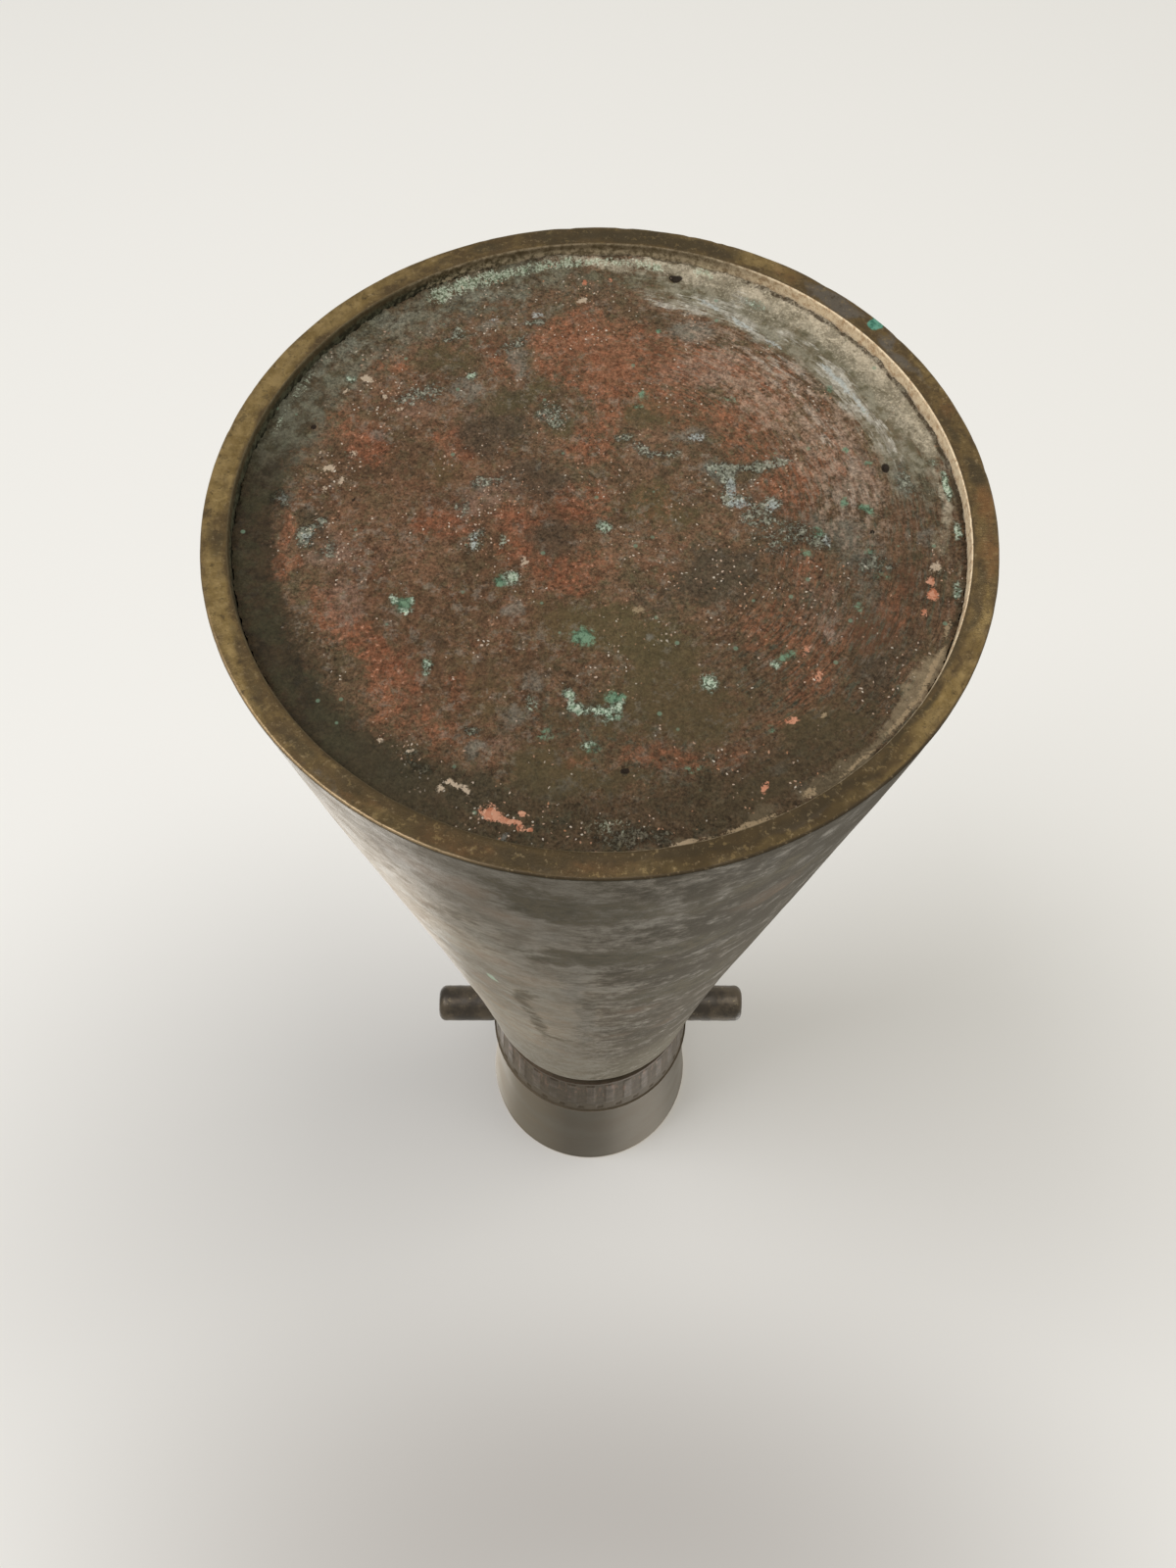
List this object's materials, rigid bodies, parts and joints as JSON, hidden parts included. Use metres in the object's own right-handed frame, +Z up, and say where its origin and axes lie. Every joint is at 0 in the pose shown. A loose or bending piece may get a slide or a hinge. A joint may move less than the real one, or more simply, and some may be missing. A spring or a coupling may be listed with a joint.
{
  "type": "ikebana vase",
  "caption": "Tall bronze flower vase with a wide recessed foot, tapered body, stepped waist, relief band, short round ears and a flared open mouth.",
  "frame": {"origin": "centre of the standing ring's face, on the surface that the vase stands on", "axes": "+Z up along the vase's axis towards the mouth, +X through the right ear, +Y to the back"},
  "size_m": [0.11, 0.11, 0.3277],
  "materials": {
    "body_patina": "satin grey-olive patina with streaks",
    "plate_corrosion": "matt corroded copper-red, olive and green",
    "solder": "dull grey solder",
    "neck_patina": "satin brown-grey patina",
    "band_patina": "dark brown patina in low relief",
    "ear_bronze": "dark satin bronze"
  },
  "bodies": {
    "root": {"body": "body_patina", "base_plate": "plate_corrosion", "base_solder": "solder", "neck": "neck_patina", "neck_solder": "solder", "relief_band": "band_patina", "ear_right": "ear_bronze", "ear_left": "ear_bronze"}
  },
  "joints": []
}
